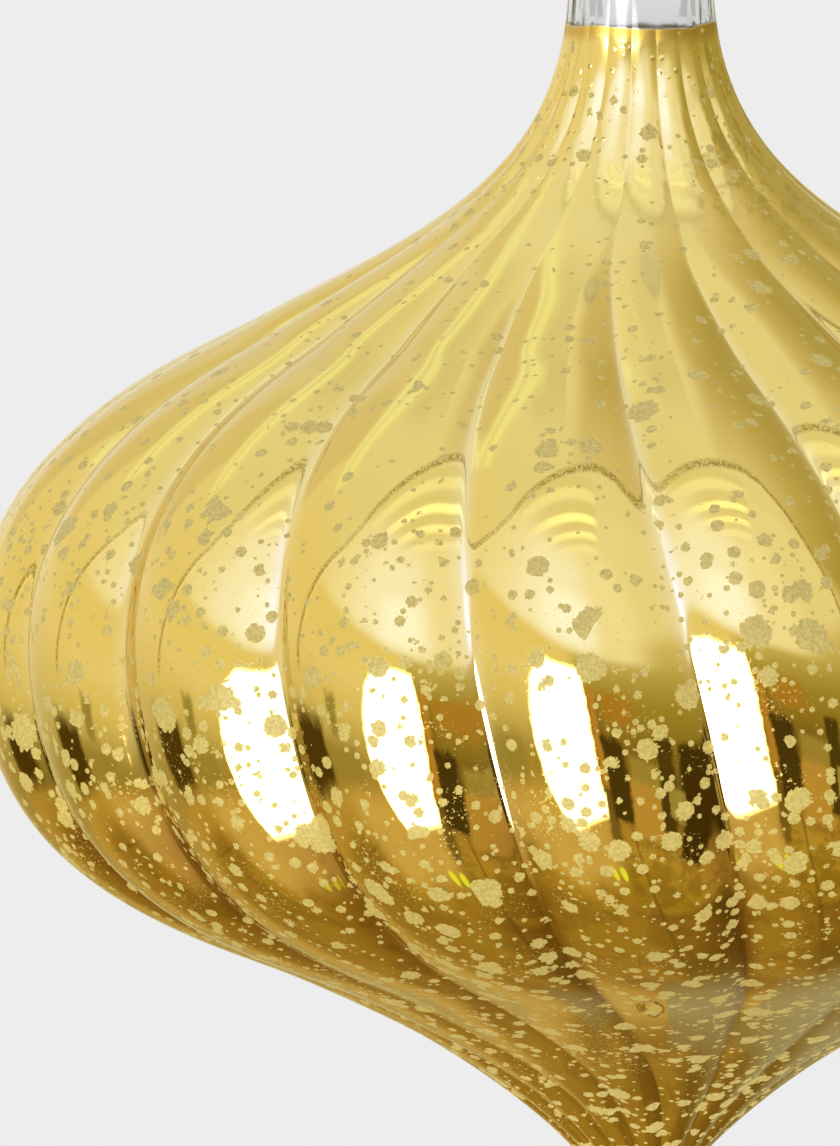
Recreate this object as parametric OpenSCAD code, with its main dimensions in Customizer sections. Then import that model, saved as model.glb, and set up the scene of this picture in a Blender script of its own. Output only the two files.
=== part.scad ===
// A hanging ornament: a blown glass onion with swirling lobes, a pressed metal cap and a sprung wire hanger.
// The origin is where the hanger bears on what it hangs from, and the ornament hangs below it on the Z axis.

/* [Glass body] */
// Radius at the widest point of the lobes
girth_r = 75; // [68:0.5:84]
// Depth of the tip below the widest point
tip_depth = 67; // [64:0.5:80]
// Height of the neck's base above the widest point
neck_base_h = 74; // [70:0.5:90]
// Length of the straight neck
neck_len = 12; // [11:0.5:18]
// Outside radius of the neck
neck_r = 8; // [7.5:0.25:10]
// Thickness of the glass
glass_wall = 1.5; // [1:0.1:2]

/* [Outline] */
// Radius at which the shoulder turns from hollow to full
shoulder_r = 43; // [38:0.5:48]
// Height of that turn above the widest point
shoulder_h = 35.5; // [32:0.5:40]
// Lean of the shoulder there, in degrees from upright
shoulder_lean = 61; // [54:1:66]
// Radius at which the underside turns from full to hollow
under_r = 42; // [38:0.5:48]
// Depth of that turn below the widest point
under_depth = 35.5; // [32:0.5:40]
// Lean of the underside there, in degrees from upright
under_lean = 66; // [58:1:70]

/* [Lobes] */
// Number of lobes round the body
lobes = 20; // [16:1:24]
// Depth of the creases between the lobes, at the widest point
crease_depth = 2.7; // [1.5:0.1:3.5]
// Turn of the swirl for each millimetre along the outline, in degrees
swirl_rate = 0.177; // [0.05:0.001:0.3]
// Further turn that the underside gathers on the way to the tip, in degrees
tip_swirl = 20; // [0:1:40]
// Length of the outline below the neck along which the lobes run straight and fade
fade_len = 38; // [25:1:45]

/* [Cap] */
// Thickness of the cap's sheet metal
cap_wall = 0.5; // [0.4:0.1:0.8]
// Clearance between the neck and the cap
cap_fit = 0.15; // [0.1:0.05:0.3]
// Length of the cap's skirt below the neck's rim
skirt_len = 8.5; // [6:0.5:10]
// Radius of the rolled edge at the foot of the skirt
roll_r = 0.7; // [0.5:0.1:1]
// Width of the flat ledge that rests on the neck's rim
ledge_w = 1.4; // [1.2:0.1:1.8]
// Rise of the domed crown above the ledge
crown_h = 2; // [1:0.25:3]

/* [Hanger] */
// Radius of the hanger's wire
wire_r = 0.7; // [0.5:0.05:0.8]
// Distance of each leg from the middle
leg_x = 4.5; // [4:0.1:4.7]
// Height of the straight legs between the crown and the bow
bow_rise = 3.2; // [2.5:0.1:6]
// Clearance round each leg in the cap's holes
hole_fit = 0.25; // [0.15:0.05:0.3]
// Clearance between the legs' knees and the neck's bore
knee_fit = 0.1; // [0.05:0.05:0.2]
// Radius of the wire's bends, measured at its middle
bend_r = 2; // [1.5:0.1:3]
// Splay of the legs below the rim, in degrees
leg_splay = 8; // [6:1:14]
// Turn of each foot back in from the bore, in degrees
foot_tuck = 6; // [2:1:10]
// Length of each foot below its knee
foot_len = 8; // [5:0.5:10]

/* [Hidden] */
$fn = 64;

// Radii that follow from the neck
bore_r = neck_r - glass_wall;
skirt_bore_r = neck_r + cap_fit;
crown_r = neck_r - ledge_w;

// Heights above the widest point, from the neck's rim up to where the ornament hangs
rim_h = neck_base_h + neck_len;
ledge_h = rim_h + cap_wall;
crown_top_h = ledge_h + crown_h;
bow_h = crown_top_h + bow_rise;
hang_h = bow_h + leg_x - wire_r;

// The outline's stations, and the way that it leans through the two turns, as radius and height
neck_base = [neck_r, neck_base_h];
shoulder = [shoulder_r, shoulder_h];
girth = [girth_r, 0];
under = [under_r, -under_depth];
tip = [0, -tip_depth];
shoulder_way = [sin(shoulder_lean), -cos(shoulder_lean)];
under_way = [-sin(under_lean), -cos(under_lean)];

// The outline from the neck's base to the tip: four cubic curves, whose pulls set how full each one is
neck_pull = 23.5;
shoulder_pulls = [20.5, 8];
girth_pulls = [22.5, 24.5];
under_pulls = [13, 40];
tip_pull = 2.5;
curves = [
    [neck_base, neck_base - [0, neck_pull], shoulder - shoulder_pulls[0] * shoulder_way, shoulder],
    [shoulder, shoulder + shoulder_pulls[1] * shoulder_way, girth + [0, girth_pulls[0]], girth],
    [girth, girth - [0, girth_pulls[1]], under - under_pulls[0] * under_way, under],
    [under, under + under_pulls[1] * under_way, tip + [tip_pull, 0], tip]
];
last_curve = len(curves) - 1;

// Faces across each lobe, and rings along each curve, outside and inside
faces_per_lobe = 6;
outer_rings = [6, 5, 6, 7];
inner_rings = [5, 4, 5, 4];
around = lobes * faces_per_lobe;
// Share of the last curve that the hollow follows: below it the drawn-out tip is solid glass
hollow_share = 0.6;
// Angle of the first crease at the widest point, anticlockwise from +X
first_crease = 5.4;

function on_curve(c, t) =
    pow(1 - t, 3) * c[0] + 3 * pow(1 - t, 2) * t * c[1] + 3 * (1 - t) * t * t * c[2] + pow(t, 3) * c[3];
function way_along(c, t) =
    let (d = pow(1 - t, 2) * (c[1] - c[0]) + 2 * (1 - t) * t * (c[2] - c[1]) + t * t * (c[3] - c[2]))
    d / norm(d);

// Rings of the outline from the rim down, each as its point and its outward normal
function rings_along(counts, share) = [
    [[neck_r, rim_h], [1, 0]],
    for (i = [0 : last_curve]) for (j = [0 : counts[i] - 1])
        let (t = j / counts[i] * (i == last_curve ? share : 1), way = way_along(curves[i], t))
        [on_curve(curves[i], t), [-way[1], way[0]]]
];
// Length along the outline from the rim to each ring
function lengths(rings) = [
    for (i = 0, run = 0; i < len(rings); run = run + step_length(rings, i), i = i + 1) run
];
function step_length(rings, i) = i < len(rings) - 1 ? norm(rings[i + 1][0] - rings[i][0]) : 0;
// The same, measured from the widest point and positive upwards
function heights_along(rings, counts) =
    let (run = lengths(rings), start = run[1 + counts[0] + counts[1]]) [for (r = run) start - r];

outer = rings_along(outer_rings, 1);
outer_s = heights_along(outer, outer_rings);
neck_s = outer_s[1];
under_s = outer_s[1 + outer_rings[0] + outer_rings[1] + outer_rings[2]];
tip_s = outer_s[len(outer) - 1] - norm(tip - outer[len(outer) - 1][0]);

inner = rings_along(inner_rings, hollow_share);
inner_s = heights_along(inner, inner_rings);
hollow_depth = on_curve(curves[last_curve], hollow_share)[1];

// Turn of the creases at length s up the outline from the widest point
function swirl(s) =
    first_crease - swirl_rate * min(s, neck_s - fade_len)
    + tip_swirl * pow(max(0, under_s - s) / (under_s - tip_s), 2);
// Depth of the creases there, as a share of the radius
function crease_share(s) =
    let (x = max(0, min(1, (neck_s - s) / fade_len))) crease_depth / girth_r * x * x * (3 - 2 * x);
// How far point k round a ring lies towards the nearest crease: 1 in a crease and 0 on a crown
function dip(k) = pow(1 - 2 * (k % faces_per_lobe) / faces_per_lobe, 2);

// One ring of points, set in from the outer surface by the inset along the normal
function ring_points(ring, s, inset) = [
    for (k = [0 : around - 1])
        let (angle = swirl(s) + 360 * k / around,
             r = ring[0][0] * (1 - crease_share(s) * dip(k)) - inset * ring[1][0])
        [r * cos(angle), r * sin(angle), ring[0][1] - inset * ring[1][1]]
];

// The skin of the glass runs from the bottom of the hollow up to the rim, over it and down to the tip
module glass_body() {
    inside = [for (i = [len(inner) - 1 : -1 : 0]) ring_points(inner[i], inner_s[i], glass_wall)];
    outside = [for (i = [0 : len(outer) - 1]) ring_points(outer[i], outer_s[i], 0)];
    skin = concat(inside, outside);
    points = concat([[0, 0, hollow_depth]], [for (ring = skin) each ring], [[0, 0, -tip_depth]]);
    last_ring = len(skin) - 1;
    function at(i, k) = 1 + i * around + k % around;
    faces = concat(
        [for (k = [0 : around - 1]) [0, at(0, k + 1), at(0, k)]],
        [for (i = [0 : last_ring - 1]) for (k = [0 : around - 1])
            [at(i, k), at(i, k + 1), at(i + 1, k + 1)]],
        [for (i = [0 : last_ring - 1]) for (k = [0 : around - 1])
            [at(i, k), at(i + 1, k + 1), at(i + 1, k)]],
        [for (k = [0 : around - 1]) [at(last_ring, k), at(last_ring, k + 1), len(points) - 1]]
    );
    color("goldenrod") translate([0, 0, -hang_h]) polyhedron(points, faces);
}

// The cap's section: a skirt with a rolled foot, a flat ledge on the neck's rim, and a domed crown
module cap_section() {
    skirt_r = skirt_bore_r + cap_wall;
    dome_r = (crown_r * crown_r + crown_h * crown_h) / (2 * crown_h);
    translate([skirt_bore_r, -skirt_len]) square([cap_wall, skirt_len + cap_wall]);
    translate([skirt_bore_r + roll_r, -skirt_len]) circle(roll_r);
    translate([crown_r - cap_wall, 0]) square([skirt_r - crown_r + cap_wall, cap_wall]);
    intersection() {
        translate([0, crown_h - dome_r + cap_wall]) difference() {
            circle(dome_r);
            circle(dome_r - cap_wall);
        }
        square([crown_r, crown_h + cap_wall]);
    }
}

module cap() {
    color("silver") translate([0, 0, rim_h - hang_h]) difference() {
        rotate_extrude() cap_section();
        for (side = [-1, 1]) translate([side * leg_x, 0, 0])
            cylinder(r = wire_r + hole_fit, h = crown_h + 2 * cap_wall);
    }
}

// Wire that starts at the origin, runs up the Z axis, and carries what follows it at its far end
module straight(length) {
    cylinder(r = wire_r, h = length);
    translate([0, 0, length]) children();
}

// A bend of the wire: a positive angle leans it towards +X, a negative one towards -X
module bend(angle) {
    side = sign(angle);
    turn = abs(angle);
    translate([side * bend_r, 0, 0]) rotate([90, 0, 0])
        rotate([0, 0, side > 0 ? 180 - turn : 0])
            rotate_extrude(angle = turn) translate([bend_r, 0]) circle(wire_r);
    translate([side * bend_r * (1 - cos(turn)), 0, bend_r * sin(turn)]) rotate([0, angle, 0]) children();
}

module hanger() {
    knee_x = bore_r - wire_r - knee_fit;
    splay_len = (knee_x - leg_x - 2 * bend_r * (1 - cos(leg_splay))) / sin(leg_splay);
    color("silver") translate([0, 0, bow_h - hang_h]) {
        rotate([90, 0, 0]) rotate_extrude(angle = 180) translate([leg_x, 0]) circle(wire_r);
        for (side = [0, 180]) rotate([0, 0, side]) translate([leg_x, 0, 0]) rotate([180, 0, 0])
            straight(bow_h - rim_h) bend(leg_splay) straight(splay_len)
                bend(-leg_splay - foot_tuck) straight(foot_len);
    }
}

glass_body();
cap();
hanger();
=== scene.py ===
"""Looks of the onion ornament.

It is gold mercury glass with swirling lobes and a clear neck, and has a metal cap and a wire hanger.
"""
import math

import bpy
import numpy as np
from mathutils import Matrix, Vector


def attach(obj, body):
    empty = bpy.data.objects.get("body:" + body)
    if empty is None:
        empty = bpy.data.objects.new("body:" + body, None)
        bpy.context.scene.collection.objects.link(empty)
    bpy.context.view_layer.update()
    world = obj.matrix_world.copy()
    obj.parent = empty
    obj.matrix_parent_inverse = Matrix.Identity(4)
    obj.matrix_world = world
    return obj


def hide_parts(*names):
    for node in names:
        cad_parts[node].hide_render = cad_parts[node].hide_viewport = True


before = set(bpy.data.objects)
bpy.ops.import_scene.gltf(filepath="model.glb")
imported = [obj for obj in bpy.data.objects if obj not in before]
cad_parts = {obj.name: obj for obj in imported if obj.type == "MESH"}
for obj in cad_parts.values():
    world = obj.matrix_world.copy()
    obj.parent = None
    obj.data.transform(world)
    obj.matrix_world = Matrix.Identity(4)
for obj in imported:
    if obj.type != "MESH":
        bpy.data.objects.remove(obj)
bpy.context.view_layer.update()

MM = 0.001

# Outline of the glass in mm and degrees, as in the CAD, with heights and depths from the widest point
GIRTH_Z = -95.5  # height of the widest point in the row frame
GIRTH_R = 75.0
NECK_R = 8.0
NECK_BASE_H = 74.0
RIM_H = 86.0
TIP_DEPTH = 67.0
SHOULDER_R = 43.0
SHOULDER_H = 35.5
SHOULDER_LEAN = 61.0
UNDER_R = 42.0
UNDER_DEPTH = 35.5
UNDER_LEAN = 66.0
NECK_PULL = 23.5
SHOULDER_PULLS = (20.5, 8.0)
GIRTH_PULLS = (22.5, 24.5)
UNDER_PULLS = (13.0, 40.0)
TIP_PULL = 2.5
WALL = 1.5
HOLLOW_SHARE = 0.6  # how far down the lowest curve the hollow reaches

# Swirl of the lobes, as in the CAD
LOBES = 20
FIRST_CREASE = 5.4  # angle of the first crease at the widest point
SWIRL_RATE = 0.177  # degrees for each mm along the outline
TIP_SWIRL = 20.0  # how much further the creases turn on the underside
FADE_LEN = 38.0  # length below the neck on which the creases run straight

# Creases and rim, which have finer shapes here than in the CAD
CREASE_DEPTH = 3.05
DEEPEST_SHARE = 0.2  # most that a crease may take of the radius
FILLET = 0.05  # half the width of each crease's rounded bottom, as a share of half a lobe
FOLD_SHADE_WIDTH = 0.38  # width of the painted shade beside a crease, as a share of half a lobe
FADE_ABOVE = (82, 45)  # lengths between which the creases grow to their full depth
FADE_BELOW = (-88, -20)
NECK_FADE = (106, 88)  # lengths between which they grow to the faint depth that they have below the neck
NECK_SHARE = 0.15
TIP_FADE = (-104, -80)
TIP_SHARE = 0.27
LIP_DROP = 0.14  # how far the rim's two edges lie below its rounded top
LIP_OUTER = (0.985, 0.985, 1)  # the rounded top's outer and inner edge, as shares of the rim's
LIP_INNER = (1.018, 1.018, 1)

# Slight waves of the blown glass, and how much the lobes differ in turn (degrees) and in depth (share)
WAVE_COUNT = 28
SHORTEST_WAVE = 9
LONGEST_WAVE = 26
WAVE_DEPTH = 0.045
WAVE_INSET = 0.16  # keeps the waves inside the outline
WAVY_R = 30.0  # smallest radius at which the waves have their full depth
TURN_SPREAD = 0.22
DEPTH_SPREAD = 0.07

# Places on the outline
RIM_PLACE = -1
GIRTH_PLACE = 2
UNDER_PLACE = 3
TIP_PLACE = 4
FIRST_RING = 3.985  # the lowest ring, just above the tip
OUTER_NECK_START = -0.15  # the first ring of the neck's outside, above the neck's base
INNER_NECK_END = -0.2  # the last ring of the neck's inside

# How finely the glass is divided
COLUMNS_PER_HALF_LOBE = 13
COLUMN_CROWDING = 2.1  # how much closer together the columns are near the creases
OUTER_RINGS = 154
OUTER_NECK_RINGS = 6
INNER_RINGS = 22
INNER_NECK_RINGS = 4


def leaning(degrees, side):
    """Unit vector along the outline where it leans that far from upright, going down."""
    return np.array([side * math.sin(math.radians(degrees)), -math.cos(math.radians(degrees))])


NECK_BASE = np.array([NECK_R, NECK_BASE_H])
SHOULDER = np.array([SHOULDER_R, SHOULDER_H])
GIRTH = np.array([GIRTH_R, 0.0])
UNDER = np.array([UNDER_R, -UNDER_DEPTH])
TIP = np.array([0.0, -TIP_DEPTH])
SHOULDER_WAY = leaning(SHOULDER_LEAN, 1)
UNDER_WAY = leaning(UNDER_LEAN, -1)
CURVES = np.array([
    [NECK_BASE, NECK_BASE - [0, NECK_PULL], SHOULDER - SHOULDER_PULLS[0] * SHOULDER_WAY, SHOULDER],
    [SHOULDER, SHOULDER + SHOULDER_PULLS[1] * SHOULDER_WAY, GIRTH + [0, GIRTH_PULLS[0]], GIRTH],
    [GIRTH, GIRTH - [0, GIRTH_PULLS[1]], UNDER - UNDER_PULLS[0] * UNDER_WAY, UNDER],
    [UNDER, UNDER + UNDER_PULLS[1] * UNDER_WAY, TIP + [TIP_PULL, 0], TIP],
])


def outline(places):
    """Outline points for places from -1 at the rim over 0 at the neck's base to 4 at the tip."""
    places = np.asarray(places, float)
    curve = np.clip(places.astype(int), 0, len(CURVES) - 1)
    u = np.clip(places - curve, 0, 1)[:, None]
    v = 1 - u
    start, start_pull, end_pull, end = CURVES[curve].swapaxes(0, 1)
    points = v**3 * start + 3 * v**2 * u * start_pull + 3 * v * u**2 * end_pull + u**3 * end
    neck = places < 0
    points[neck, 0] = NECK_R
    points[neck, 1] = NECK_BASE_H - places[neck] * (RIM_H - NECK_BASE_H)
    return points


# Lengths along the outline at closely spaced places
FINE_COUNT = 5001
FINE_PLACES = np.linspace(RIM_PLACE, TIP_PLACE, FINE_COUNT)
FROM_RIM = np.r_[0, np.cumsum(np.hypot(*np.diff(outline(FINE_PLACES), axis=0).T))]
FINE_LENGTHS = np.interp(GIRTH_PLACE, FINE_PLACES, FROM_RIM) - FROM_RIM


def length_at(places):
    """Length along the outline from the widest point, + above it and - below it."""
    return np.interp(places, FINE_PLACES, FINE_LENGTHS)


NECK_S = float(length_at(0))
UNDER_S = float(length_at(UNDER_PLACE))
TIP_S = float(length_at(TIP_PLACE))

rng = np.random.default_rng(7)
wave_ways = rng.normal(size=(WAVE_COUNT, 3))
wave_lengths = rng.uniform(SHORTEST_WAVE, LONGEST_WAVE, WAVE_COUNT)
WAVES = wave_ways * (2 * math.pi / wave_lengths / np.linalg.norm(wave_ways, axis=1))[:, None]
WAVE_PHASES = rng.uniform(0, 2 * math.pi, WAVE_COUNT)
LOBE_TURNS = rng.normal(0, TURN_SPREAD, LOBES)
LOBE_DEPTHS = rng.normal(1, DEPTH_SPREAD, LOBES)


def crease_place(phi):
    """For angles phi: the nearest crease's number, and how far off it is (0 in the crease, 1 on a crown)."""
    place = phi * LOBES / 360
    nearest = np.round(place)
    return nearest.astype(int) % LOBES, 2 * np.abs(place - nearest)


def smooth(value, low, high):
    """0 to 1 as the value goes from low to high, smoothly."""
    x = np.clip((value - low) / (high - low), 0, 1)
    return x * x * (3 - 2 * x)


def crease_fade(s):
    """Depth of the creases at length s: 1 round the widest point, fainter beyond, 0 at the neck and tip."""
    above = np.maximum(smooth(s, *FADE_ABOVE), NECK_SHARE * smooth(s, *NECK_FADE))
    below = np.maximum(smooth(s, *FADE_BELOW), TIP_SHARE * smooth(s, *TIP_FADE))
    return above * below


def turned(radius, angle, height):
    """Points at a radius, an angle in radians and a height."""
    return np.stack([radius * np.cos(angle), radius * np.sin(angle), height], -1)


def lobed(places, phi):
    """Points of the outer skin for outline places and angles phi (degrees from the first crease), in mm."""
    base = outline(places)
    s = length_at(places)
    turn = FIRST_CREASE - SWIRL_RATE * np.minimum(s, NECK_S - FADE_LEN)
    turn += TIP_SWIRL * (np.maximum(0, UNDER_S - s) / (UNDER_S - TIP_S)) ** 2
    crease, off = crease_place(phi)
    full = (np.sqrt(off * off + FILLET * FILLET) - FILLET) / (math.sqrt(1 + FILLET * FILLET) - FILLET)
    dip = (1 - full) ** 2 * LOBE_DEPTHS[crease]
    close = (1 - off) ** 2 * (1 + 2 * off)
    angle = np.radians(turn[:, None] + phi + LOBE_TURNS[crease] * close)
    deepest = np.minimum(CREASE_DEPTH * crease_fade(s), DEEPEST_SHARE * base[:, 0])
    radius = base[:, :1] - deepest[:, None] * dip
    height = np.broadcast_to(base[:, 1:], radius.shape)
    waviness = np.sin(turned(radius, angle, height) @ WAVES.T + WAVE_PHASES).sum(-1) / math.sqrt(WAVE_COUNT)
    wavy = np.clip(base[:, :1] / WAVY_R, 0, 1)
    return turned(radius - wavy * (WAVE_INSET + WAVE_DEPTH * waviness), angle, height)


def lining(places, phi):
    """Points of the inner skin, which lies in from the outer one by the wall's thickness."""
    points = lobed(places, phi)
    step = 1e-3
    before = outline(np.clip(places - step, RIM_PLACE, TIP_PLACE))
    after = outline(np.clip(places + step, RIM_PLACE, TIP_PLACE))
    way = after - before
    way /= np.linalg.norm(way, axis=1, keepdims=True)
    outward = np.stack([-way[:, 1], way[:, 0]], -1)
    outward[places < 0] = [1, 0]
    radius = np.hypot(points[..., 0], points[..., 1])
    points[..., :2] *= ((radius - WALL * outward[:, :1]) / radius)[..., None]
    points[..., 2] -= WALL * outward[:, 1:]
    return points


def columns(per_half):
    """Angles round the body, closer together near the creases."""
    step = (np.arange(1, per_half + 1) / per_half) ** COLUMN_CROWDING / 2
    lobe = np.r_[0, step, 1 - step[-2::-1]]
    return ((np.arange(LOBES)[:, None] + lobe[None]) * 360 / LOBES).ravel()


def rings(count, start, end):
    """Outline places about evenly spaced along its length."""
    s = np.linspace(length_at(start), length_at(end), count)
    return np.interp(-s, -FINE_LENGTHS, FINE_PLACES)


def skin_faces(layer_count, across):
    """Quads between the layers, and a fan of triangles to the first point and to the last one."""
    here = np.arange(across)
    beside = (here + 1) % across
    layer = np.arange(layer_count - 1)[:, None] * across
    corners = [layer + here, layer + beside, layer + across + beside, layer + across + here]
    quads = 1 + np.stack(corners, -1).reshape(-1, 4)
    last_layer = 1 + (layer_count - 1) * across
    last_point = 1 + layer_count * across
    pairs = list(zip(here.tolist(), beside.tolist()))
    foot = [(0, 1 + b, 1 + a) for a, b in pairs]
    end = [(last_point, last_layer + a, last_layer + b) for a, b in pairs]
    return quads.tolist() + foot + end


def glass_skin():
    """One closed skin: up the outside from the tip, over the rim, and down the inside to the hollow's end.

    Gives its points in metres, its faces, and two values from 0 to 1 for each point: how deep in a crease it
    lies, and how close to a crease on the crease's clockwise side, where the material paints shade.
    """
    phi = columns(COLUMNS_PER_HALF_LOBE)
    outer_neck = np.linspace(OUTER_NECK_START, RIM_PLACE, OUTER_NECK_RINGS)
    outer_places = np.r_[rings(OUTER_RINGS, FIRST_RING, 0), outer_neck]
    inner_neck = np.linspace(RIM_PLACE, INNER_NECK_END, INNER_NECK_RINGS)
    inner_places = np.r_[inner_neck, rings(INNER_RINGS, 0, UNDER_PLACE + HOLLOW_SHARE)]
    outside = lobed(outer_places, phi)
    inside = lining(inner_places, phi)
    lip = np.array([outside[-1] * LIP_OUTER, (outside[-1] + inside[0]) / 2, inside[0] * LIP_INNER])
    outside[-1, :, 2] -= LIP_DROP
    inside[0, :, 2] -= LIP_DROP
    layers = np.concatenate([outside, lip, inside])
    hollow_foot = [[0, 0, inside[-1, :, 2].mean()]]
    points = np.concatenate([[[0, 0, TIP[1]]], layers.reshape(-1, 3), hollow_foot])
    points[:, 2] += GIRTH_Z

    depth = crease_fade(length_at(np.r_[outer_places, [RIM_PLACE] * len(lip), inner_places]))[:, None]
    off = crease_place(phi)[1]
    place = phi * LOBES / 360
    valley = np.exp(-((off / (2 * FILLET)) ** 2))
    # Where the material paints shade, on the clockwise side of each crease
    shaded = np.where(place < np.round(place), np.exp(-((off / FOLD_SHADE_WIDTH) ** 2)), 0)
    crease = np.r_[0, (depth * valley).ravel(), 0]
    painted_fold_shade = np.r_[0, (depth * shaded).ravel(), 0]
    return points * MM, skin_faces(len(layers), len(phi)), {"crease": crease, "painted_fold_shade": painted_fold_shade}


def glass_mesh(material):
    """The glass as one piece, which stands for the CAD's glass body."""
    points, faces, attributes = glass_skin()
    mesh = bpy.data.meshes.new("onion_glass")
    mesh.from_pydata(points.tolist(), [], faces)
    mesh.update()
    mesh.polygons.foreach_set("use_smooth", [True] * len(mesh.polygons))
    for name, values in attributes.items():
        mesh.attributes.new(name, "FLOAT", "POINT").data.foreach_set("value", values)
    mesh.materials.append(material)
    piece = bpy.data.objects.new("onion_glass", mesh)
    bpy.context.scene.collection.objects.link(piece)
    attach(piece, "root")
    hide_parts("glass_body")


# Node trees


class Tree:
    """A node tree with short calls that add a node, link its inputs and return its output."""

    def __init__(self, owner):
        owner.use_nodes = True
        self.tree = owner.node_tree
        self.nodes = self.tree.nodes

    def put(self, socket, value):
        """Links the value to the socket, or sets it there if it is a constant."""
        if isinstance(value, bpy.types.NodeSocket):
            self.tree.links.new(value, socket)
        else:
            socket.default_value = value

    def add(self, kind, *inputs, **settings):
        """Adds a node with its inputs in order, and returns its first output."""
        node = self.nodes.new(kind)
        for key, value in settings.items():
            setattr(node, key, value)
        for index, value in enumerate(inputs):
            self.put(node.inputs[index], value)
        return node.outputs[0]

    def math(self, operation, *inputs):
        return self.add("ShaderNodeMath", *inputs, operation=operation)

    def product(self, *factors):
        """The product of two or more values."""
        result = factors[0]
        for factor in factors[1:]:
            result = self.math("MULTIPLY", result, factor)
        return result

    def sum(self, *terms):
        """The sum of two or more values."""
        result = terms[0]
        for term in terms[1:]:
            result = self.math("ADD", result, term)
        return result

    def minus(self, value, less):
        return self.math("SUBTRACT", value, less)

    def excess(self, value, limit):
        """How far the value is over the limit, or 0."""
        return self.math("MAXIMUM", self.minus(value, limit), 0.0)

    def square(self, value):
        return self.math("POWER", value, 2.0)

    def stretch(self, vector, factors):
        """The vector with each part times its own factor."""
        return self.add("ShaderNodeVectorMath", vector, factors, operation="MULTIPLY")

    def split(self, vector):
        """The three parts of a vector."""
        node = self.nodes.new("ShaderNodeSeparateXYZ")
        self.put(node.inputs[0], vector)
        return node.outputs

    def ease(self, value, low, high, to_low=0.0, to_high=1.0):
        """Goes smoothly from to_low to to_high as the value goes from low to high."""
        node = self.nodes.new("ShaderNodeMapRange")
        node.interpolation_type = "SMOOTHSTEP"
        self.put(node.inputs["Value"], value)
        self.put(node.inputs["From Min"], low)
        self.put(node.inputs["From Max"], high)
        self.put(node.inputs["To Min"], to_low)
        self.put(node.inputs["To Max"], to_high)
        return node.outputs[0]

    def near(self, value, middle, reach, edge):
        """1 within reach of the middle, falling to 0 over the width of the edge."""
        return self.ease(self.math("ABSOLUTE", self.minus(value, middle)), reach + edge, reach)

    def mix(self, share, a, b):
        """Colour a, or colour b where the share is 1."""
        node = self.nodes.new("ShaderNodeMix")
        node.data_type = "RGBA"
        self.put(node.inputs[0], share)
        self.put(node.inputs[6], a)
        self.put(node.inputs[7], b)
        return node.outputs[2]

    def ramp(self, value, stops):
        """A colour for the value, from stops of a value and a colour."""
        node = self.nodes.new("ShaderNodeValToRGB")
        self.put(node.inputs[0], value)
        band = node.color_ramp.elements
        while len(band) > 1:
            band.remove(band[-1])
        band[0].position = stops[0][0]
        band[0].color = (*stops[0][1], 1)
        for place, colour in stops[1:]:
            band.new(place).color = (*colour, 1)
        return node.outputs[0]

    def noise(self, vector, scale, detail=2.0, roughness=0.5):
        node = self.nodes.new("ShaderNodeTexNoise")
        self.put(node.inputs["Vector"], vector)
        node.inputs["Scale"].default_value = scale
        node.inputs["Detail"].default_value = detail
        node.inputs["Roughness"].default_value = roughness
        return node.outputs[0]

    def sway(self, reach, vector, scale, detail=2.0, roughness=0.5):
        """Noise around zero, times the reach."""
        return self.math("MULTIPLY", self.minus(self.noise(vector, scale, detail, roughness), 0.5), reach)

    def attribute(self, name):
        """A value that the mesh keeps for each point."""
        node = self.nodes.new("ShaderNodeAttribute")
        node.attribute_name = name
        return node.outputs["Fac"]


# Studio: what the mirror shows, what lights the object, and what the camera sees behind it

BACK_GREY = 0.847
LIGHT_GREY = 0.80
LOWEST_SLOPE = 0.05  # keeps places on the ceiling and the floor finite near the horizon
SOFT_BOX = (8.0, 7.9, 7.6)


class Room(Tree):
    """The room around the ornament, painted layer over layer by direction.

    Directions are given as a turn, which is 0 towards the camera and grows to its left, and a rise, both in
    degrees. Overhead they are places on a ceiling, side and ahead, in units of its height.
    """

    def __init__(self, world):
        super().__init__(world)
        self.nodes.clear()
        self.way = self.add("ShaderNodeTexCoord")
        self.x, self.y, self.z = self.split(self.way)
        back_x = self.math("MULTIPLY", self.x, -1.0)
        back_y = self.math("MULTIPLY", self.y, -1.0)
        self.turn = self.math("MULTIPLY", self.math("ARCTAN2", back_x, back_y), math.degrees(1))
        self.rise = self.math("MULTIPLY", self.math("ARCSINE", self.z), math.degrees(1))
        self.over = self.math("MAXIMUM", self.z, LOWEST_SLOPE)
        self.side = self.math("DIVIDE", self.x, self.over)
        self.ahead = self.math("DIVIDE", self.y, self.over)
        self.on_floor = self.ease(self.rise, -36.0, -44.0)
        self.colour = None

    def paint(self, share, colour):
        """Paints a colour over what is there, where the share is over 0."""
        self.colour = self.mix(share, self.colour, (*colour, 1))

    def by_rise(self, *stops):
        """A colour for each rise, from stops of a rise and a colour."""
        level = self.math("ADD", self.math("DIVIDE", self.rise, 180.0), 0.5)
        return self.ramp(level, [(degrees / 180 + 0.5, colour) for degrees, colour in stops])


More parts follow.
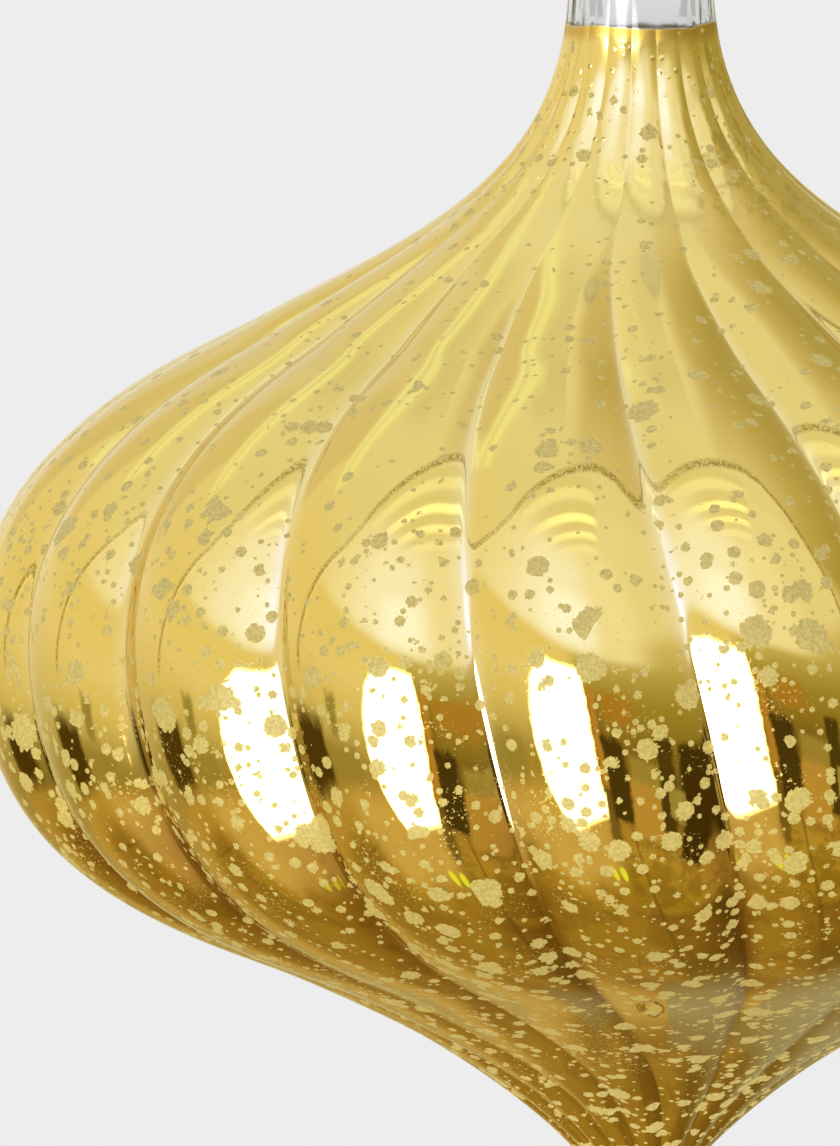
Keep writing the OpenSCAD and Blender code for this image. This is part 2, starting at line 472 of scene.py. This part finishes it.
def paint_walls(room):
    """The walls from floor to ceiling, which differ by side."""
    # The open side: pale walls over a warm wooden floor
    open_side = room.by_rise(
        (-90, (0.40, 0.25, 0.05)), (-68, (0.54, 0.36, 0.07)), (-53, (0.52, 0.33, 0.06)),
        (-40, (0.54, 0.35, 0.08)), (-32, (0.62, 0.43, 0.12)), (-26, (0.48, 0.36, 0.12)),
        (-20, (0.52, 0.42, 0.16)), (-13, (0.74, 0.64, 0.36)), (-6, (0.92, 0.81, 0.50)),
        (7, (1.06, 0.97, 0.76)), (22, (1.05, 0.95, 0.66)), (37, (1.06, 0.99, 0.78)),
        (52, (1.05, 1.03, 0.96)), (67, (1.04, 1.04, 1.02)), (90, (1.05, 1.07, 1.10)),
    )
    # The furnished side: dark furniture in front of an olive wall
    furnished_side = room.by_rise(
        (-90, (0.40, 0.25, 0.05)), (-68, (0.48, 0.33, 0.05)), (-53, (0.60, 0.42, 0.10)),
        (-42, (0.53, 0.35, 0.10)), (-33, (0.34, 0.23, 0.07)), (-24, (0.15, 0.09, 0.03)),
        (-15, (0.22, 0.15, 0.04)), (-6, (0.34, 0.25, 0.06)), (7, (0.45, 0.37, 0.10)),
        (17, (0.62, 0.54, 0.26)), (25, (0.82, 0.74, 0.48)), (37, (0.96, 0.90, 0.80)),
        (52, (0.99, 0.96, 0.94)), (67, (1.02, 1.03, 1.02)), (90, (1.05, 1.07, 1.10)),
    )
    # The far right: an unlit wall
    unlit_side = room.by_rise(
        (-90, (0.38, 0.24, 0.05)), (-68, (0.34, 0.21, 0.04)), (-55, (0.16, 0.09, 0.015)),
        (-45, (0.26, 0.19, 0.06)), (-30, (0.48, 0.42, 0.22)), (7, (0.49, 0.41, 0.12)),
        (22, (0.54, 0.47, 0.20)), (40, (0.57, 0.49, 0.22)), (52, (0.70, 0.61, 0.34)),
        (62, (0.84, 0.76, 0.58)), (75, (0.95, 0.92, 0.86)), (90, (1.05, 1.07, 1.10)),
    )
    front = room.mix(room.near(room.turn, -38.0, 50.0, 12.0), open_side, furnished_side)
    room.colour = room.mix(room.near(room.turn, -130.0, 33.0, 16.0), front, unlit_side)


def paint_floor(room):
    """Boards with dark joints and blotches, and the light that the soft box spills in front of it."""
    under = room.math("MAXIMUM", room.math("MULTIPLY", room.z, -1.0), LOWEST_SLOPE)
    boards = room.math("ADD", room.math("MULTIPLY", room.math("DIVIDE", room.x, under), 0.9), 0.37)
    joint = room.math("ABSOLUTE", room.minus(room.math("FRACT", boards), 0.5))
    room.paint(room.product(room.ease(joint, 0.022, 0.008), room.on_floor, 0.5), (0.14, 0.085, 0.03))
    blotches = room.ease(room.noise(room.way, 5.0, 3.0, 0.6), 0.45, 0.58)
    room.paint(room.product(blotches, room.on_floor, 0.42), (0.21, 0.12, 0.03))
    spill = room.product(
        room.near(room.turn, 48.0, 26.0, 24.0), room.near(room.rise, -50.0, 11.0, 16.0), 0.7)
    room.paint(spill, (0.92, 0.70, 0.36))


def paint_furniture(room):
    """Things that stand in the room, as patches with ragged edges."""
    ragged = room.sway(7.0, room.way, 9.0, 4.0, 0.65)
    loose_turn = room.math("ADD", room.turn, ragged)
    loose_rise = room.math("ADD", room.rise, ragged)
    # Each is its turn from left to right, its rise from foot to head, its colour, its edge and its share
    for left, right, foot, head, colour, edge, share in (
        (116, 90, -28, -12, (0.10, 0.06, 0.01), 3.0, 1.0),
        (90, 62, -28, -17, (0.42, 0.35, 0.13), 3.0, 0.8),
        (81, 73, -15, -3, (0.33, 0.29, 0.10), 2.0, 0.8),
        (-10, -36, -44, -19, (0.64, 0.42, 0.14), 2.0, 1.0),
        (10, 2, -56, 6, (0.17, 0.11, 0.03), 2.0, 0.8),
        (9, 3, -26, 12, (0.66, 0.37, 0.10), 1.5, 0.9),
        (4, -9, -39, -8, (0.09, 0.06, 0.015), 1.5, 1.0),
        (-12, -34, -20, -11, (0.55, 0.46, 0.17), 2.0, 0.7),
        (0, -20, -2, 10, (0.56, 0.30, 0.06), 3.0, 0.75),
        (-32, -42, -38, -2, (0.10, 0.07, 0.015), 1.5, 1.0),
        (-46, -64, -46, -3, (0.075, 0.045, 0.01), 2.0, 1.0),
        (-38, -48, -30, -18, (0.60, 0.52, 0.22), 1.0, 0.7),
    ):
        wide = room.near(loose_turn, (left + right) / 2, (left - right) / 2 - edge, 2 * edge)
        tall = room.near(loose_rise, (foot + head) / 2, (head - foot) / 2 - edge, 2 * edge)
        room.paint(room.product(wide, tall, share), colour)


def paint_back(room):
    """Behind the ornament: a low grey backdrop, a plain wall with a bright door head, and a darker floor."""
    turn, rise = room.turn, room.rise
    backdrop = room.product(
        room.ease(turn, -138.0, -164.0), room.ease(rise, -47.0, -43.0), room.ease(rise, -18.0, -26.0), 0.8)
    room.paint(backdrop, (0.37, 0.33, 0.19))
    wall = room.product(
        room.ease(turn, 150.0, 163.0), room.ease(rise, -6.0, 4.0), room.ease(rise, 72.0, 52.0), 0.75)
    room.paint(wall, (0.84, 0.80, 0.66))
    shadow = room.product(
        room.near(turn, 147.0, 6.0, 6.0), room.ease(rise, 8.0, 16.0), room.ease(rise, 49.0, 44.0), 0.4)
    room.paint(shadow, (0.70, 0.58, 0.24))
    # The head slants, and runs off to the left
    head_rise = room.sum(rise, room.math("MULTIPLY", turn, -0.12))
    reach = room.near(turn, 146.0, 19.0, 5.0)
    room.paint(room.product(room.near(head_rise, 31.5, 3.0, 4.5), reach, 0.45), (1.14, 1.20, 0.96))
    edges = room.math("MAXIMUM", room.near(head_rise, 33.0, 0.8, 1.6), room.near(head_rise, 28.6, 0.3, 1.2))
    room.paint(room.product(edges, reach, 0.6), (1.22, 1.34, 1.05))
    room.paint(room.product(room.ease(room.y, -0.05, 0.40), room.on_floor, 0.45), (0.30, 0.18, 0.03))


def paint_ceiling(room):
    """The lit ceiling over the camera's side: a screen with a dark speckled edge, and strip lights."""
    side, ahead = room.side, room.ahead
    # The edge's place ahead, which slants, and turns away at both ends
    slanted = room.math("MULTIPLY", room.math("MAXIMUM", room.math("MINIMUM", side, 0.2), -0.6), 0.32)
    outer = room.math("MULTIPLY", room.math("MAXIMUM", room.minus(-0.9, side), 0.0), 0.25)
    falling = room.math("MULTIPLY", room.excess(side, 0.32), -0.45)
    distance = room.sum(slanted, outer, falling, 0.18, room.math("MULTIPLY", ahead, -1.0))
    past_edge = room.math("MULTIPLY", distance, room.over)
    overhead = room.ease(room.z, 0.45, 0.6)
    room.paint(room.product(room.ease(past_edge, 0.0, 0.03), overhead, 0.7), (1.12, 1.13, 1.20))
    speckle = room.ease(room.noise(room.way, 95.0, 2.0, 0.6), 0.38, 0.56)
    dark_edge = room.product(
        room.near(past_edge, 0.0, 0.009, 0.026), room.ease(room.z, -0.08, 0.02), speckle, 0.85)
    room.paint(dark_edge, (0.36, 0.29, 0.10))
    glint = room.product(
        room.near(past_edge, 0.030, 0.003, 0.006), room.ease(side, -0.35, -0.5),
        room.ease(room.z, 0.1, 0.3), 0.6)
    room.paint(glint, (1.5, 1.35, 1.3))
    # Strip lights, each with a yellow band below it: place ahead, half width and share
    bend = room.math("SQRT", room.math("ADD", room.square(room.math("ADD", side, -0.10)), 0.02))
    bent = room.math("ADD", room.math("MULTIPLY", bend, 0.30), ahead)
    across = room.math("MULTIPLY", room.ease(side, -0.52, -0.46), room.ease(side, 0.20, 0.14))
    for place, width, share in (
        (0.105, 0.022, 0.3), (-0.045, 0.016, 1.0), (-0.165, 0.016, 0.9), (-0.275, 0.020, 0.5),
    ):
        below = room.near(bent, place + 0.06, 0.022, 0.03)
        room.paint(room.product(below, across, overhead, 0.45), (0.90, 0.88, 0.62))
        strip = room.near(bent, place, width, 0.024)
        room.paint(room.product(strip, across, overhead, share), (1.6, 1.7, 1.6))


def paint_lit_wall(room):
    """The wall above the soft box, lit by it: a wide glow, a narrower one and the brightest patch."""
    turn, rise = room.turn, room.rise
    foot = room.minus(rise, room.math("MULTIPLY", turn, 0.07))
    wide = room.product(
        room.near(turn, 25.0, 48.0, 28.0), room.ease(foot, 22.0, 28.0), room.ease(rise, 84.0, 60.0), 0.9)
    room.paint(wide, (1.20, 1.22, 1.50))
    narrow = room.product(
        room.near(turn, 32.0, 14.0, 32.0), room.ease(foot, 22.0, 32.0), room.ease(rise, 76.0, 60.0), 0.8)
    room.paint(narrow, (1.30, 1.44, 2.5))
    patch = room.product(room.near(turn, 18.0, 6.0, 24.0), room.near(rise, 39.0, 5.0, 11.0), 0.8)
    room.paint(patch, (1.40, 1.65, 3.4))


def paint_soft_box(room):
    """The tall soft box, a little left of the camera, with uneven edges, a bulge and a slanted foot."""
    turn, rise = room.turn, room.rise
    fringe = room.sway(5.0, room.way, 7.0, 3.0, 0.6)
    bulge = room.math("MULTIPLY", room.square(room.math("ADD", rise, 15.0)), 0.012)
    left = room.ease(room.sum(turn, fringe, bulge), 53.5, 51.0)
    narrowing = room.math("MULTIPLY", room.square(room.excess(rise, -2.0)), -0.007)
    right = room.ease(room.sum(turn, fringe, narrowing), 8.5, 11.0)
    corner = room.math("MULTIPLY", room.excess(turn, 34.0), 0.8)
    top = room.ease(room.sum(rise, corner, fringe), 20.0, 16.0)
    bottom = room.ease(room.sum(rise, room.math("MULTIPLY", turn, 0.25)), -37.5, -32.5)
    room.paint(room.product(left, right, top, bottom), SOFT_BOX)


def paint_small_things(room):
    """Two small yellow-green things on the floor, as round patches."""
    for place in (23.0, 11.0):
        aside = room.math("MULTIPLY", room.minus(room.turn, place), 0.42)
        upward = room.math("MULTIPLY", room.minus(room.rise, -66.0), 0.40)
        away = room.math("SQRT", room.sum(room.square(aside), room.square(upward)))
        room.paint(room.ease(away, 2.0, 1.2), (1.05, 1.25, 0.12))


def studio_world():
    """The painted room for reflections alone, and plain pale grey for the camera and all other light."""
    world = bpy.data.worlds.new("studio")
    bpy.context.scene.world = world
    world.cycles.sampling_method = "NONE"  # rays find the world by themselves, which renders faster here
    room = Room(world)
    paint_walls(room)
    paint_floor(room)
    paint_furniture(room)
    paint_back(room)
    paint_ceiling(room)
    paint_lit_wall(room)
    paint_soft_box(room)
    paint_small_things(room)

    paths = room.nodes.new("ShaderNodeLightPath").outputs
    seen = room.math("MAXIMUM", paths["Is Camera Ray"], paths["Is Transmission Ray"])
    light = (LIGHT_GREY, LIGHT_GREY, LIGHT_GREY, 1)
    back = (BACK_GREY, BACK_GREY, BACK_GREY, 1)
    plain = room.add("ShaderNodeBackground", room.mix(seen, light, back), 1.0)
    painted = room.add("ShaderNodeBackground", room.colour, 1.0)
    reflected = room.math("MULTIPLY", paths["Is Glossy Ray"], room.minus(1.0, seen))
    # Mixed as shaders, because Cycles then works out the room for reflections alone
    shown = room.add("ShaderNodeMixShader", reflected, plain, painted)
    room.put(room.nodes.new("ShaderNodeOutputWorld").inputs[0], shown)


FLOOR_Z = -0.235
FLOOR_R = 1.2
FLOOR_CORNERS = 96


def studio_floor():
    """A pale floor that keeps the ornament's shadow, runs out into the backdrop and is clear from below."""
    mesh = bpy.data.meshes.new("floor")
    angles = np.linspace(0, 2 * math.pi, FLOOR_CORNERS, endpoint=False)
    ring = [(math.cos(angle) * FLOOR_R, math.sin(angle) * FLOOR_R, FLOOR_Z) for angle in angles]
    mesh.from_pydata(ring, [], [tuple(range(FLOOR_CORNERS))])
    floor = bpy.data.objects.new("floor", mesh)
    bpy.context.scene.collection.objects.link(floor)
    floor.visible_glossy = False
    floor.visible_transmission = False
    material = bpy.data.materials.new("floor_pale")
    mesh.materials.append(material)
    t = Tree(material)
    t.nodes.clear()
    geometry = t.nodes.new("ShaderNodeNewGeometry").outputs
    reach = t.nodes.new("ShaderNodeVectorMath")
    reach.operation = "LENGTH"
    t.put(reach.inputs[0], t.stretch(geometry["Position"], (1.0, 1.0, 0.0)))
    fade = t.math("MAXIMUM", t.ease(reach.outputs["Value"], 0.16, 0.33), geometry["Backfacing"])
    matte = t.add("ShaderNodeBsdfDiffuse", (LIGHT_GREY, LIGHT_GREY, LIGHT_GREY, 1))
    clear = t.add("ShaderNodeBsdfTransparent", (1, 1, 1, 1))
    surface = t.add("ShaderNodeMixShader", fade, matte, clear)
    t.put(t.nodes.new("ShaderNodeOutputMaterial").inputs[0], surface)


LAMP_TARGET = Vector((0, 0, -0.12))


def lamp(name, place, size, power):
    """A round lamp that is turned to the ornament and doesn't show in its mirror."""
    data = bpy.data.lights.new(name, "AREA")
    data.shape = "DISK"
    data.size = size
    data.energy = power
    lamp_object = bpy.data.objects.new(name, data)
    bpy.context.scene.collection.objects.link(lamp_object)
    lamp_object.location = place
    lamp_object.rotation_mode = "QUATERNION"
    lamp_object.rotation_quaternion = (LAMP_TARGET - Vector(place)).to_track_quat("-Z", "Y")
    lamp_object.visible_glossy = False
    lamp_object.visible_transmission = False


# The photograph's camera, with lengths in its pixels
PHOTO_HEIGHT = 1146
FOCAL_LENGTH = 7500
TARGET_RIGHT = 221  # how far right of the image's centre the target on the ornament's axis lies
TARGET_BELOW = 27  # how far below the centre it lies
CAMERA_TARGET = Vector((0, 0, -0.0915))
CAMERA_DISTANCE = 0.8358
CAMERA_TILT = 7.26  # degrees, looking down
SENSOR = 36


def camera():
    """The photograph's view: the image centre lies left of the ornament's axis."""
    tilt = math.radians(CAMERA_TILT)
    right = Vector((1, 0, 0))
    ahead = Vector((0, math.cos(tilt), -math.sin(tilt)))
    up = Vector((0, math.sin(tilt), math.cos(tilt)))
    aim = (FOCAL_LENGTH * ahead - TARGET_RIGHT * right + TARGET_BELOW * up).normalized()
    data = bpy.data.cameras.new("camera")
    data.sensor_width = SENSOR
    data.lens = SENSOR * FOCAL_LENGTH / PHOTO_HEIGHT
    data.clip_start = 0.05
    data.clip_end = 20
    eye = bpy.data.objects.new("camera", data)
    bpy.context.scene.collection.objects.link(eye)
    axes = Matrix((right, up, -ahead)).transposed()
    eye.rotation_mode = "QUATERNION"
    eye.rotation_quaternion = ahead.rotation_difference(aim) @ axes.to_quaternion()
    eye.location = CAMERA_TARGET - CAMERA_DISTANCE * ahead
    bpy.context.scene.camera = eye


# Materials


def coordinates_mm(t):
    """Places on the object in millimetres."""
    place = t.nodes.new("ShaderNodeTexCoord").outputs["Object"]
    return t.stretch(place, (1000.0, 1000.0, 1000.0))


def spots(t, place, cell, keep, smallest, biggest, seed):
    """Round spots with lumpy edges in a share of the cells: 1 inside, 0 outside. Sizes are radii in mm."""
    offset = (seed * 31.7, seed * 17.3, seed * 47.1)
    moved = t.add("ShaderNodeVectorMath", place, offset, operation="ADD")
    node = t.nodes.new("ShaderNodeTexVoronoi")
    t.put(node.inputs["Vector"], moved)
    node.inputs["Scale"].default_value = 1 / cell
    node.inputs["Randomness"].default_value = 0.8
    chance = t.nodes.new("ShaderNodeSeparateColor")
    t.put(chance.inputs[0], node.outputs["Color"])
    there = t.math("LESS_THAN", chance.outputs[0], keep)
    size = t.ease(chance.outputs[1], 0.0, 1.0, smallest / cell, biggest / cell)
    lumps = t.sway(0.7 * biggest / cell, moved, 3.2 / biggest, 2.0, 0.55)
    depth = t.sum(size, lumps, t.math("MULTIPLY", node.outputs["Distance"], -1.0))
    return t.product(t.ease(depth, -0.02 / cell, 0.04 / cell), there)


def worn_spots(t, place, height):
    """Where the mirror is worn: little on the shoulder, much from the widest point down, and unevenly."""
    low = t.ease(height, -60.0, -112.0)
    crowd = t.sum(t.math("MULTIPLY", low, 0.30), t.sway(0.9, place, 0.085))
    dust = t.ease(t.noise(place, 3.0, 2.0, 0.6), 0.60, 0.66)
    dusty = t.ease(t.noise(place, 0.14), 0.50, 0.62)
    worn = t.product(dust, dusty, low, 0.7)
    # Each layer is its cell, how its crowding follows the patches, its least crowding, radii and seed
    for cell, follows, least, smallest, biggest, seed in (
        (5.6, 0.5, 0.04, 1.0, 2.1, 6),
        (3.6, 1.0, 0.12, 0.5, 1.35, 1),
        (3.3, 1.0, 0.05, 0.6, 1.25, 2),
        (1.9, 1.0, 0.17, 0.3, 0.75, 3),
        (1.8, 1.0, 0.09, 0.3, 0.70, 4),
        (0.95, 1.0, 0.14, 0.10, 0.36, 5),
    ):
        keep = t.math("ADD", t.math("MULTIPLY", crowd, follows), least)
        worn = t.math("MAXIMUM", worn, spots(t, place, cell, keep, smallest, biggest, seed))
    return worn


def mirror_colour(t, place, height, edge, at_neck):
    """Gold with a darker band at its upper edge, painted highlight in the creases above, and painted shade
    in and beside the creases below.
    """
    gold = t.mix(t.noise(place, 0.05), (0.77, 0.60, 0.17, 1), (0.73, 0.565, 0.15, 1))
    crease = t.attribute("crease")
    under = t.ease(height, -98.0, -120.0)
    # Painted highlight: paler in the creases above, for the pale lines that they reflect
    gold = t.mix(t.product(crease, t.minus(1.0, under), 0.55), gold, (0.80, 0.70, 0.42, 1))
    # Painted shade: dark brown in the creases below
    gold = t.mix(t.product(crease, under, 1.2), gold, (0.46, 0.29, 0.07, 1))
    # Painted shade: darker brown on the clockwise side of each crease below, where its neighbour would shade
    # it
    gold = t.mix(t.product(t.attribute("painted_fold_shade"), under, 0.9), gold, (0.44, 0.275, 0.075, 1))
    gold = t.mix(t.math("MULTIPLY", at_neck, 0.35), gold, (0.80, 0.67, 0.31, 1))
    gold = t.mix(t.math("MULTIPLY", edge, 0.85), gold, (0.52, 0.345, 0.055, 1))
    # Painted reflection: thin dark streaks run down one side of the neck, where the mirror shows dark things
    streak_pattern = t.noise(t.stretch(place, (1.0, 1.0, 0.22)), 0.62, 3.0, 0.6)
    one_side = t.ease(t.split(place)[0], 3.0, 7.5)
    painted_dark_streaks = t.product(t.ease(streak_pattern, 0.50, 0.62), one_side, t.ease(height, -54.0, -42.0))
    return t.mix(t.math("MULTIPLY", painted_dark_streaks, 0.4), gold, (0.36, 0.26, 0.04, 1))


def spot_colour(t, place, height):
    """Grainy khaki, darker on the shoulder, and palest at the foot as painted light for the underside that
    the lamps don't reach.
    """
    grain = t.ease(t.noise(place, 2.6, 3.0, 0.7), 0.36, 0.64)
    high = t.mix(grain, (0.37, 0.29, 0.075, 1), (0.52, 0.41, 0.12, 1))
    low = t.mix(grain, (0.57, 0.435, 0.092, 1), (0.75, 0.58, 0.155, 1))
    foot = t.mix(grain, (0.70, 0.54, 0.14, 1), (0.88, 0.70, 0.23, 1))
    khaki = t.mix(t.ease(height, -76.0, -118.0), high, low)
    # Painted light: the spots at the foot are paler, for lamp light that doesn't reach the underside
    return t.mix(t.ease(height, -126.0, -148.0), khaki, foot)


def neck_ripples(t, place, height):
    """A normal with ripples and small seeds in the glass of the neck. The seeds are stronger on one side."""
    upright = t.stretch(place, (1.0, 1.0, 0.3))
    seeds = t.nodes.new("ShaderNodeTexVoronoi")
    t.put(seeds.inputs["Vector"], place)
    seeds.inputs["Scale"].default_value = 0.7
    dome = t.math("MAXIMUM", t.minus(1.0, t.math("MULTIPLY", seeds.outputs["Distance"], 3.4)), 0.0)
    by_side = t.ease(t.split(place)[0], 0.0, -6.0, 0.34, 0.9)
    below_edge = t.ease(height, -28.5, -31.0)
    seeded = t.product(t.square(dome), by_side, below_edge)
    waves = t.math("MULTIPLY", t.noise(upright, 0.36, 1.0), 0.7)
    bump = t.nodes.new("ShaderNodeBump")
    bump.inputs["Strength"].default_value = 1.0
    bump.inputs["Distance"].default_value = 0.00030
    t.put(bump.inputs["Height"], t.product(t.sum(waves, seeded), t.ease(height, -50.0, -38.0)))
    return bump.outputs[0]


def mirrored_glass():
    """Glass with a worn gold mirror inside it, which stops at a wavy edge just below the clear neck."""
    material = bpy.data.materials.new("mirrored_glass")
    t = Tree(material)
    shader = t.nodes["Principled BSDF"].inputs
    place = coordinates_mm(t)
    height = t.split(place)[2]

    wavy_height = t.math("ADD", height, t.sway(1.8, place, 0.16))
    lined = t.ease(wavy_height, -27.3, -27.5)
    clear = t.minus(1.0, lined)
    edge = t.ease(wavy_height, -29.6, -27.9)
    at_neck = t.ease(height, -60.0, -46.0)
    worn = worn_spots(t, place, height)
    coating = t.mix(worn, mirror_colour(t, place, height, edge, at_neck), spot_colour(t, place, height))
    t.put(shader["Base Color"], t.mix(lined, (0.93, 0.94, 0.945, 1), coating))
    t.put(shader["Metallic"], t.math("MULTIPLY", lined, t.minus(1.0, worn)))
    polish = t.sum(t.math("MULTIPLY", at_neck, 0.12), t.math("MULTIPLY", edge, 0.30), 0.03)
    rough = t.sum(polish, t.math("MULTIPLY", worn, 0.5))
    t.put(shader["Roughness"], t.sum(t.math("MULTIPLY", lined, rough), t.math("MULTIPLY", clear, 0.13)))
    t.put(shader["Transmission Weight"], clear)
    t.put(shader["Normal"], neck_ripples(t, place, height))
    t.put(shader["IOR"], 1.5)
    t.put(shader["Coat Weight"], 0.15)
    t.put(shader["Coat Roughness"], 0.015)
    t.put(shader["Coat IOR"], 1.5)
    return material


def scuffed_metal(name, scuff_scale, bright, scuffed, smoothest, roughest):
    """Bright metal with soft scuffs that dull it."""
    material = bpy.data.materials.new(name)
    t = Tree(material)
    shader = t.nodes["Principled BSDF"].inputs
    scuff = t.noise(coordinates_mm(t), scuff_scale, 4.0, 0.6)
    t.put(shader["Base Color"], t.mix(scuff, (*bright, 1), (*scuffed, 1)))
    t.put(shader["Roughness"], t.ease(scuff, 0.3, 0.8, smoothest, roughest))
    t.put(shader["Metallic"], 1.0)
    return material


def pressed_sheet():
    return scuffed_metal("cap_metal", 0.9, (0.80, 0.80, 0.79), (0.74, 0.74, 0.73), 0.16, 0.34)


def drawn_wire():
    return scuffed_metal("spring_wire", 2.4, (0.74, 0.74, 0.73), (0.66, 0.66, 0.65), 0.18, 0.32)


def dress(node, material, seen_through_glass):
    """Gives a CAD node its finish, and keeps it out of the glass's reflections."""
    for slot in node.material_slots:
        slot.material = material
    node.visible_glossy = False
    node.visible_transmission = seen_through_glass


camera()
studio_world()
studio_floor()
lamp("key", (-0.9, -1.2, 0.75), 0.9, 11)
lamp("fill", (1.1, -0.7, 0.35), 1.0, 4)

glass_mesh(mirrored_glass())
dress(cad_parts["cap"], pressed_sheet(), False)
dress(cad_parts["hanger"], drawn_wire(), True)

bpy.context.scene.view_settings.view_transform = "Standard"
